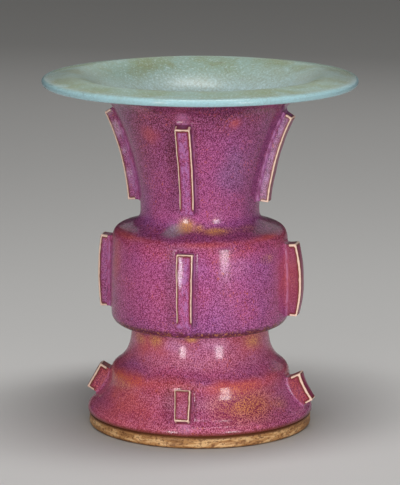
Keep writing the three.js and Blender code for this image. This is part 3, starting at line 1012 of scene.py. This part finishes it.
    # Ochre where the glaze breaks over the joints and the foot's flare
    broken = w.share(w.math("ADD", speck, w.swing(drift, 0.5)), 0.48, 0.57)
    torn = w.mix(broken, w.colour, c.ochre)
    for row in (
        (-3, 0.052, 0.1755, 0.013, 1.4, 1.0),
        (9, 0.053, 0.174, 0.008, 1.2, 1.0),
        (24, 0.055, 0.1712, 0.022, 5.0, 1.0),
        (54, 0.056, 0.171, 0.018, 5.0, 0.5),
        (-30, 0.057, 0.0785, 0.013, 1.3, 0.9),
        (3, 0.058, 0.083, 0.010, 2.0, 1.0),
        (60, 0.058, 0.077, 0.02, 1.8, 0.8),
        (-50, 0.058, 0.077, 0.014, 2.0, 0.8),
        (64, 0.086, 0.027, 0.02, 2.4, 0.5),
        (-52, 0.077, 0.042, 0.028, 3.0, 0.6),
        (58, 0.074, 0.148, 0.012, 2.0, 0.7),
        (195, 0.054, 0.173, 0.02, 4.0, 0.8),
        (150, 0.08, 0.034, 0.03, 3.0, 0.6),
        (230, 0.075, 0.044, 0.03, 3.0, 0.6),
    ):
        patch(torn, *row)
    net = w.mix(broken, w.mix(0.35, w.colour, c.maroon), mixed(c.ochre, c.orange, 0.3))
    patch(net, 38, 0.083, 0.031, 0.05, 2.4, 0.9)
    ash = w.mix(w.math("MAXIMUM", broken, 0.4), w.colour, mixed(c.smoke, WHITE, 0.2))
    patch(ash, -14, 0.057, 0.1715, 0.013, 1.4, ragged=1.0)
    gilt = w.mix(w.math("MAXIMUM", broken, 0.45), w.colour, c.ochre)
    patch(gilt, -2, 0.0525, 0.1752, 0.010, 1.2, ragged=0.9)
    patch(gilt, 22, 0.056, 0.1715, 0.012, 4.0, 0.8, 0.9)
    patch(gilt, 3, 0.058, 0.0825, 0.0065, 1.6, 0.8, 0.6)

    # The dark, broken line round the drum's lower edge, dark glaze with painted shade in the crease
    # over the foot, and the red line over the ring
    rising = w.share(w.height, DRUM_SEAT - 0.002, DRUM_SEAT + 0.001)
    falling = w.share(w.height, DRUM_SEAT + 0.0081, DRUM_SEAT + 0.0041)
    # Painted shade in the crease deepens this dark glaze
    scorched = w.tinted(mixed(c.rust, c.plum, 0.5), (0.55, 0.45, 0.5))
    line = w.mix(w.share(freckle, 0.54, 0.62, 0.8), scorched, mixed(c.ochre, c.rust, 0.35))
    w.lay(line, rising, falling, w.share(clump, 0.3, 0.48), 0.9)
    w.lay(c.rust, w.share(w.height, FOOT_SEAT + 0.004, FOOT_SEAT + 0.0005, 0.8))

    colour_flanges(w, c, body, outward, speck)

    # A pool of pale glaze under the lip, and another at the foot of the lowest flange, each with white
    # painted glints
    painted_glint = mixed(c.lilac, WHITE, 0.45)
    for row in (
        (c.lilac, -1.5, 0.075, 0.2655, 0.009, 1.1, 0.4, 0.5),
        (painted_glint, -3, 0.0757, 0.2668, 0.0034, 1.3, 0.75, 0.3),
        (painted_glint, 1.5, 0.0757, 0.2672, 0.0028, 1.6, 0.6, 0.3),
        (c.lilac, 3, 0.0945, 0.0175, 0.009, 1.3, 0.4, 0.5),
        (painted_glint, 4, 0.0945, 0.0168, 0.0035, 1.3, 0.7, 0.3),
    ):
        patch(*row)
    return w.finish(clump)


def colour_flanges(w, c, body, outward, speck):
    """Mottled sides, a cooler streak down the face, red margins and then cream edges; painted shade on
    some sides and faces.
    """
    face = w.named("face")
    sides = w.times(body, w.rest(face))
    edge = w.times(w.rest(w.named("near")), NEAR_RIM)
    edge = w.math("ADD", edge, w.swing(w.noise(w.place, 330, 2), 0.0009))
    streak = w.noise(w.stretched(w.place, 1, 1, 0.3), 420, 2)
    corner = w.times(w.share(body, 0.02, 0.2), w.share(body, 0.9, 0.4))
    w.lay(c.lilac, corner, w.share(streak, 0.4, 0.6), 0.45)

    on_foot = w.share(w.height, 0.09, 0.06)
    on_right = w.share(w.across, 0.03, 0.05)
    right_drum = w.times(on_right, w.share(w.height, NECK_SEAT, NECK_SEAT - 0.0095))
    warmth = w.math("MAXIMUM", on_foot, right_drum)
    mottle = w.mix(warmth, mixed(c.lilac, c.violet, 0.5), mixed(c.maroon, c.orange, 0.3))
    w.lay(mottle, sides, w.share(streak, 0.4, 0.62), 0.34)
    w.lay(mixed(mixed(c.rust, c.maroon, 0.3), c.plum, 0.35), sides, right_drum, 0.55)
    w.lay(c.orange, sides, on_foot, w.share(speck, 0.5, 0.56), 0.45)
    # Painted shade on the sides of the front column's flanges
    front_sides_shaded = w.share(w.math("ABSOLUTE", w.across), 0.03, 0.015)
    w.lay(w.tinted(w.colour, (0.5, 0.42, 0.45)), sides, w.share(body, 0.3, 0.8), front_sides_shaded, 0.8)

    washed = w.mix(on_foot, mixed(c.violet, c.lilac, 0.5), mixed(c.rose, c.maroon, 0.8))
    w.lay(washed, face, w.share(edge, 0.0016, 0.0034), w.share(streak, 0.42, 0.62), 0.55)
    # Painted shade on the faces of the flanges that turn to the left and right
    aside_in_shade = w.math("ABSOLUTE", w.add("ShaderNodeSeparateXYZ", {0: outward}).outputs["X"])
    w.lay(c.maroon, face, w.share(aside_in_shade, 0.75, 0.92), 0.7)
    w.lay(c.maroon, body, w.share(edge, 0.0034, 0.0018), 0.55)
    w.lay(c.rust, body, w.share(edge, 0.0021, 0.0011), 0.9)
    w.lay(c.cream, body, w.share(edge, 0.0009, 0.0004))


@made_once
def pale_glaze(name):
    """The opaque aqua glaze of the mouth and the inside, with its crackle."""
    c = bpy.context.scene.vase_colours
    w = Glaze(name)
    radius = w.length(w.from_axis)
    curdle = w.noise(w.place, 560, 2.5, 0.6, 0.3)
    clump = w.noise(w.place, 150, 2, 0.55)
    drift = w.noise(w.place, 30, 3, 0.55, 0.4)
    w.colour = w.mix(w.share(drift, 0.35, 0.65), c.aqua, mixed(c.aqua, c.sky, 0.45))

    # Deeper in the bowl it is paler, with painted shade on the left and painted light on the right
    w.lay(mixed(c.sky, WHITE, 0.28), w.share(radius, 0.088, 0.06, 0.75))
    in_bowl = w.share(radius, 0.1, 0.085)
    w.lay(w.tinted(w.colour, (0.6, 0.58, 0.56)), w.share(w.across, 0.0, -0.06), in_bowl, 0.35)
    w.lay(mixed(c.sky, WHITE, 0.3), w.share(w.across, 0.0, 0.06), in_bowl, 0.3)

    # Thick and blue round the nose, thin and olive where the lip turns
    edge = w.share(radius, LIP_RADIUS - 0.0075, LIP_RADIUS - 0.001)
    edge = w.times(edge, w.share(w.height, CREST - 0.0005, CREST - 0.0055))
    w.lay(c.sky, edge)
    turn = w.times(w.share(radius, 0.08, 0.092), w.share(radius, 0.108, 0.096))
    w.lay(c.olive, turn, w.share(clump, 0.35, 0.75), 0.22)
    w.lay(c.olive, w.share(drift, 0.6, 0.72, 0.15))
    w.lay(c.olive, w.share(curdle, 0.54, 0.4), w.blend(edge, 0.3, 0.1))
    w.lay(mixed(c.sky, WHITE, 0.5), w.share(curdle, 0.56, 0.7), w.blend(edge, 0.35, 0.1))

    # Painted shade darkens the lip towards its two ends, as seen from the front
    for degrees in (100, -80):
        gap = w.vector("SUBTRACT", w.place, spot(degrees, LIP_RADIUS, CREST))
        far = w.math("ADD", w.length(gap), w.swing(drift, 0.03))
        w.lay(w.tinted(w.colour, (0.6, 0.58, 0.6)), w.share(far, 0.075, 0.01, 0.85))

    bent = w.vector("ADD", w.place, w.times(w.noise(w.place, 90, 2), 0.004))
    cells = w.add("ShaderNodeTexVoronoi", {"Vector": bent, "Scale": 210.0}, feature="DISTANCE_TO_EDGE")
    crack = w.times(w.share(cells.outputs["Distance"], 0.045, 0.0), w.share(drift, 0.62, 0.42))
    w.lay(c.dark_clay, crack, 0.3)
    return w.finish(w.math("SUBTRACT", w.times(clump, 0.7), w.times(crack, 0.3)))


@made_once
def bare_clay(name):
    """Fired clay without glaze, streaked by the turning, scorched at the top and darkened along its
    lowest edge by a painted shadow.
    """
    c = bpy.context.scene.vase_colours
    w = Glaze(name)
    streak = w.noise(w.stretched(w.place, 1, 1, 4), 60, 3, 0.6, 0.6)
    fine = w.noise(w.stretched(w.place, 1, 1, 1.6), 380, 3, 0.65)
    grit = w.noise(w.place, 1500, 2, 0.6)
    w.colour = w.mix(w.share(streak, 0.48, 0.6), c.clay, c.pale_clay)
    w.lay(mixed(c.clay, c.dark_clay, 0.6), w.share(streak, 0.46, 0.36, 0.8))
    w.lay(c.dark_clay, w.share(fine, 0.5, 0.38, 0.7))
    w.lay(c.pale_clay, w.share(grit, 0.6, 0.7, 0.3))
    ragged = w.math("ADD", w.height, w.swing(streak, 0.004))
    w.lay(c.dark_clay, w.share(ragged, FOOT_SEAT - 0.0032, FOOT_SEAT - 0.0012))
    # Painted contact shadow along the ring's lowest edge, where it meets the floor
    w.lay(c.dark_clay, w.share(w.height, 0.0022, 0.0002, 0.5))
    return w.finish(w.math("ADD", w.times(streak, 0.6), w.times(fine, 0.4)))


def surface(name, glaze, over, roughness, coat, coat_roughness, relief, rim_roughness=0, side_coat=0):
    """A material from one glaze and, where a mark on the mesh says so, another over it."""
    if name in bpy.data.materials:
        return bpy.data.materials[name]
    material = bpy.data.materials.new(name)
    material.use_nodes = True
    w = Wiring(material.node_tree)
    place = w.add("ShaderNodeTexCoord").outputs["Object"]
    below = w.add("ShaderNodeGroup", node_tree=glaze).outputs
    colour, bump = below["Colour"], below["Relief"]
    if over:
        group, mark = over
        above = w.add("ShaderNodeGroup", node_tree=group).outputs
        soft = w.swing(w.noise(place, 300, 3), 0.5)
        share = w.share(w.math("ADD", w.named(mark), soft), 0.3, 0.7)
        colour = w.mix(share, colour, above["Colour"])
        bump = w.blend(share, bump, above["Relief"])
    uneven = w.add("ShaderNodeBump", {"Height": bump, "Strength": 0.6, "Distance": relief})
    shader = material.node_tree.nodes["Principled BSDF"].inputs
    for socket, value in (
        ("Base Color", colour),
        ("Roughness", w.math("ADD", roughness, w.swing(w.noise(place, 600, 2), roughness * 0.5))),
        ("Normal", uneven.outputs[0]),
        ("Specular IOR Level", GLAZE_SPECULAR),
        ("Coat IOR", COAT_IOR),
        ("Coat Weight", coat),
        ("Coat Roughness", coat_roughness),
    ):
        w.feed(shader[socket], value)
    if rim_roughness:
        radius = w.length(w.stretched(place, 1, 1, 0))
        on_rim = w.share(radius, LIP_RADIUS - 0.01, LIP_RADIUS - 0.005)
        w.feed(shader["Coat Roughness"], w.blend(on_rim, coat_roughness, rim_roughness))
    if side_coat:
        side = w.times(w.named("body"), w.rest(w.named("face")))
        w.feed(shader["Coat Weight"], w.blend(side, coat, side_coat))
    return material


def copper(tint):
    over = (pale_glaze(), "aqua")
    return surface("copper_" + tint, flowing_glaze(), over, 0.42, 0.5, 0.13, 0.00012, side_coat=0.12)


def aqua_glaze():
    over = (bare_clay(), "bare")
    return surface("pale_inside", pale_glaze(), over, 0.5, 0.5, 0.3, 0.0001, rim_roughness=0.14)


def ring_clay():
    return surface("turned_clay", bare_clay(), None, 0.5, 0.15, 0.3, 0.0005)


# Operators


class VASE_OT_mouth_and_neck(bpy.types.Operator):
    """Make the trumpet neck with its wide lip"""

    bl_idname = "vase.mouth_and_neck"
    bl_label = "Mouth and neck"

    def execute(self, context):
        s = context.scene.vase_walls
        walls = Walls(s)
        inner_throat = inside(walls.throat, THROAT_WAY, s.wall)
        inner_waist = inside(walls.waist, UP, s.wall)
        bore = walls.neck_seat.x - s.wall
        tip = NECK_SEAT - s.spigot
        outside = joined(
            [at(bore, tip), at(bore + s.spigot, tip), at(bore + s.spigot, NECK_SEAT)],
            walls.trumpet_side, walls.lip_under,
        )
        outline = joined(
            outside,
            walls.lip_side,
            stretch(
                walls.crest, INWARDS, inner_throat, back(THROAT_WAY), s.outside_step * 1.3, (0.22, 0.26)
            ),
            stretch(inner_throat, back(THROAT_WAY), inner_waist, DOWN, s.inside_step, (0.3, 0.25)),
            stretch(inner_waist, DOWN, at(bore, tip), DOWN, s.inside_step),
        )
        last_outside = len(outside)

        def aqua(i, point):
            from_edge = s.lip_radius - point.x
            return 1.0 if i >= last_outside else eased(from_edge, *AQUA_UNDER_LIP)

        turned_piece("mouth_and_neck", outline, copper("purple"), aqua)
        return {"FINISHED"}


class VASE_OT_drum(bpy.types.Operator):
    """Make the drum between the neck and the foot"""

    bl_idname = "vase.drum"
    bl_label = "Drum"

    def execute(self, context):
        s = context.scene.vase_walls
        walls = Walls(s)
        lower_bore = s.foot_neck_radius - s.wall
        lower_socket = lower_bore + s.spigot + s.slip
        upper_bore = walls.neck_seat.x - s.wall
        upper_socket = upper_bore + s.spigot + s.slip
        floor = DRUM_SEAT + s.wall
        socket_roof = DRUM_SEAT + s.spigot + s.slip
        socket_floor = NECK_SEAT - s.spigot - s.slip
        inner_arris = inside(walls.arris, ARRIS_WAY, s.wall)
        wall_top = inside(walls.shoulder, SHOULDER_WAY, s.wall)
        edge = s.drum_edge / 4
        corner = at(s.drum_radius - s.wall, floor + edge)
        rough = s.inside_step
        outside = joined(
            [at(lower_socket, DRUM_SEAT)],
            straight(at(lower_socket, DRUM_SEAT), walls.drum_side[0], rough),
            walls.drum_side,
        )
        outline = joined(
            outside,
            [at(upper_socket, NECK_SEAT), at(upper_socket, socket_floor), at(upper_bore, socket_floor)],
            stretch(at(upper_bore, socket_floor - s.spigot), DOWN, inner_arris, back(ARRIS_WAY), rough),
            stretch(inner_arris, back(ARRIS_WAY), wall_top, DOWN, rough),
            stretch(wall_top, DOWN, corner, DOWN, rough),
            arc(corner - at(edge, 0), edge, 0, DOWN, rough / 2),
            straight(at(corner.x - edge, floor), at(lower_bore, floor), rough),
            [at(lower_bore, socket_roof), at(lower_socket, socket_roof), at(lower_socket, DRUM_SEAT)],
        )
        last_outside = len(outside)
        turned_piece("drum", outline, copper("purple"), lambda i, p: float(i >= last_outside))
        return {"FINISHED"}


class VASE_OT_foot(bpy.types.Operator):
    """Make the spreading foot"""

    bl_idname = "vase.foot"
    bl_label = "Foot"

    def execute(self, context):
        s = context.scene.vase_walls
        walls = Walls(s)
        bore = s.foot_neck_radius - s.wall
        top = DRUM_SEAT + s.spigot
        rebate = RING_RADIUS - s.wall
        ledge = FLOOR_TOP + s.slip
        under_roll = at(rebate - s.wall, ledge)
        inner_foot = inside(walls.ridge_foot, RIDGE_FOOT_WAY, s.wall)
        inner_top = inside(walls.ridge_top, RIDGE_TOP_WAY, s.wall)
        rough = s.inside_step
        outline = joined(
            [at(rebate, FOOT_SEAT)],
            walls.foot_side,
            [at(bore + s.spigot, DRUM_SEAT), at(bore + s.spigot, top), at(bore, top)],
            stretch(at(bore, DRUM_SEAT), DOWN, inner_top, back(RIDGE_TOP_WAY), rough, (0.55, 0.3)),
            stretch(inner_top, back(RIDGE_TOP_WAY), inner_foot, back(RIDGE_FOOT_WAY), rough),
            stretch(inner_foot, back(RIDGE_FOOT_WAY), under_roll, back(ROLL_WAY), rough),
            [at(rebate, ledge), at(rebate, FOOT_SEAT)],
        )
        last_outside = len(walls.foot_side)
        turned_piece("foot", outline, copper("rose"), lambda i, p: float(i > last_outside))
        return {"FINISHED"}


class VASE_OT_foot_ring(bpy.types.Operator):
    """Make the bare ring that the vase stands on"""

    bl_idname = "vase.foot_ring"
    bl_label = "Foot ring"

    def execute(self, context):
        s = context.scene.vase_walls
        inner = RING_RADIUS - s.ring_width
        bevel = at(inner + RING_CHAMFER, 0)
        groove = at(RING_RADIUS, FOOT_SEAT - RING_GROOVE)
        groove_top = at(RING_RADIUS - RING_GROOVE, FOOT_SEAT)
        fine, rough = s.outside_step * 0.5, s.inside_step

        def furrow(height):
            swell, ripple = FURROW_WAVES
            return at(FURROW * (1 + math.sin(height * swell) * math.cos(height * ripple)), 0)

        outer = straight(at(RING_RADIUS, s.ring_edge), groove, fine)
        outline = joined(
            [at(inner, RING_CHAMFER), bevel],
            straight(bevel, at(RING_RADIUS - s.ring_edge, 0), rough),
            arc(at(RING_RADIUS - s.ring_edge, s.ring_edge), s.ring_edge, DOWN, 0, fine),
            [point - furrow(point.y) for point in outer[1:-1]],
            [groove, groove_top],
            straight(groove_top, at(inner, FOOT_SEAT), rough),
            straight(at(inner, FOOT_SEAT), at(inner, RING_CHAMFER), rough),
        )
        turned_piece("foot_ring", outline, ring_clay(), finish="turned")
        return {"FINISHED"}


class VASE_OT_floor_disc(bpy.types.Operator):
    """Make the floor that closes the vase inside its foot"""

    bl_idname = "vase.floor_disc"
    bl_label = "Floor disc"

    def execute(self, context):
        s = context.scene.vase_walls
        lower, upper = at(FLOOR_RADIUS, FOOT_SEAT), at(FLOOR_RADIUS, FLOOR_TOP)
        under = straight(at(0, FOOT_SEAT), lower, s.inside_step)
        edge = straight(lower, upper, s.inside_step)
        outline = joined(under, edge, straight(upper, at(0, FLOOR_TOP), s.inside_step))
        turned_piece("floor_disc", outline, aqua_glaze(), bare=lambda i, p: float(i < len(under)))
        return {"FINISHED"}


class VASE_OT_neck_flanges(bpy.types.Operator):
    """Make the four flanges of the neck"""

    bl_idname = "vase.neck_flanges"
    bl_label = "Neck flanges"

    def execute(self, context):
        walls = Walls(context.scene.vase_walls)
        side = joined(walls.trumpet_side, walls.lip_under)
        flange_set("neck", side, NECK_SEAT, walls.throat.y, False, copper("purple"), ("front", "back"))
        return {"FINISHED"}


class VASE_OT_drum_flanges(bpy.types.Operator):
    """Make the four flanges of the drum"""

    bl_idname = "vase.drum_flanges"
    bl_label = "Drum flanges"

    def execute(self, context):
        side = Walls(context.scene.vase_walls).drum_side
        flange_set("drum", side, DRUM_SEAT, NECK_SEAT, False, copper("purple"), ("front", "back"))
        return {"FINISHED"}


class VASE_OT_foot_flanges(bpy.types.Operator):
    """Make the four flanges of the foot"""

    bl_idname = "vase.foot_flanges"
    bl_label = "Foot flanges"

    def execute(self, context):
        walls = Walls(context.scene.vase_walls)
        glaze = copper("rose")
        flange_set("foot", walls.foot_side, FOOT_SEAT, walls.ridge_top.y, True, glaze, pool=1.2)
        return {"FINISHED"}


class VASE_OT_studio(bpy.types.Operator):
    """Set up the floor, the lamps and the camera"""

    bl_idname = "vase.studio"
    bl_label = "Studio"

    def execute(self, context):
        scene, studio = context.scene, context.scene.vase_studio
        floor = bpy.data.meshes.new("floor")
        shape = bmesh.new()
        bmesh.ops.create_circle(shape, cap_ends=True, segments=96, radius=FLOOR_REACH)
        shape.to_mesh(floor)
        shape.free()
        material = bpy.data.materials.new("floor")
        material.use_nodes = True
        shader = material.node_tree.nodes["Principled BSDF"]
        shader.inputs["Base Color"].default_value = (*studio.floor, 1)
        shader.inputs["Roughness"].default_value = 0.75
        shader.inputs["Specular IOR Level"].default_value = 0.2
        floor.materials.append(material)
        ground = bpy.data.objects.new("floor", floor)
        scene.collection.objects.link(ground)

        world = bpy.data.worlds.new("studio")
        scene.world = world
        world.use_nodes = True
        w = Wiring(world.node_tree)
        glossy = w.add("ShaderNodeLightPath").outputs["Is Glossy Ray"]
        strength = w.blend(glossy, studio.sky_light, studio.sky_light * studio.mirrored)
        backing = world.node_tree.nodes["Background"]
        backing.inputs["Color"].default_value = (*studio.floor, 1)
        w.feed(backing.inputs["Strength"], strength)

        lamps = {
            name: self.lamp(name, getattr(studio, name), math.degrees(studio.turn), *place)
            for name, place in LAMPS.items()
        }
        # The strips stand on the floor and light the vase alone
        unlit = bpy.data.collections.new("floor kept from the strips")
        unlit.objects.link(ground)
        unlit.collection_objects[0].light_linking.link_state = "EXCLUDE"
        for name in STRIPS:
            lamps[name].light_linking.receiver_collection = unlit

        data = bpy.data.cameras.new("camera")
        data.sensor_fit = "VERTICAL"
        data.sensor_height = FRAME_HEIGHT
        data.lens = studio.lens
        data.clip_start, data.clip_end = 0.05, 60
        camera = bpy.data.objects.new("camera", data)
        camera.location = spot(math.degrees(studio.turn), studio.distance, studio.height)
        camera.rotation_euler = (math.radians(90) - studio.pitch, 0, studio.turn)
        scene.collection.objects.link(camera)
        scene.camera = camera
        scene.view_settings.view_transform = "Standard"
        return {"FINISHED"}

    @staticmethod
    def lamp(name, power, camera_turn, turn, distance, height, size, aim):
        """A soft box in its place of LAMPS, counted from where the camera stands."""
        data = bpy.data.lights.new(name, "AREA")
        data.shape = "RECTANGLE"
        data.size, data.size_y = size
        data.energy = power
        lamp = bpy.data.objects.new(name, data)
        lamp.location = spot(camera_turn + turn, distance, height)
        towards = Vector((0, 0, aim)) - lamp.location
        lamp.rotation_euler = towards.to_track_quat("-Z", "Y").to_euler()
        bpy.context.scene.collection.objects.link(lamp)
        return lamp


class VASE_PT_maker(bpy.types.Panel):
    """Lists the pieces of the vase and their settings"""

    bl_idname = "VASE_PT_maker"
    bl_label = "Flanged gu vase"
    bl_space_type = "VIEW_3D"
    bl_region_type = "UI"
    bl_category = "Vase"

    def draw(self, context):
        layout = self.layout
        for operator in PIECES:
            layout.operator(operator.bl_idname)
        for name in SETTINGS:
            box = layout.box()
            box.label(text=name.replace("vase_", "").capitalize())
            group = getattr(context.scene, name)
            for key in group.__annotations__:
                box.prop(group, key)


SETTINGS = {
    "vase_walls": WallSizes,
    "vase_flanges": FlangeSizes,
    "vase_colours": GlazeColours,
    "vase_studio": StudioSettings,
}
PIECES = (
    VASE_OT_mouth_and_neck,
    VASE_OT_drum,
    VASE_OT_foot,
    VASE_OT_foot_ring,
    VASE_OT_floor_disc,
    VASE_OT_neck_flanges,
    VASE_OT_drum_flanges,
    VASE_OT_foot_flanges,
    VASE_OT_studio,
)


def register():
    for kind in (*SETTINGS.values(), *PIECES, VASE_PT_maker):
        bpy.utils.register_class(kind)
    for name, kind in SETTINGS.items():
        setattr(bpy.types.Scene, name, PointerProperty(type=kind))


def unregister():
    for name in SETTINGS:
        delattr(bpy.types.Scene, name)
    for kind in reversed((*SETTINGS.values(), *PIECES, VASE_PT_maker)):
        bpy.utils.unregister_class(kind)


def main():
    register()
    bpy.ops.vase.mouth_and_neck()
    bpy.ops.vase.drum()
    bpy.ops.vase.foot()
    bpy.ops.vase.foot_ring()
    bpy.ops.vase.floor_disc()
    bpy.ops.vase.neck_flanges()
    bpy.ops.vase.drum_flanges()
    bpy.ops.vase.foot_flanges()
    bpy.ops.vase.studio()


if __name__ == "__main__":
    main()
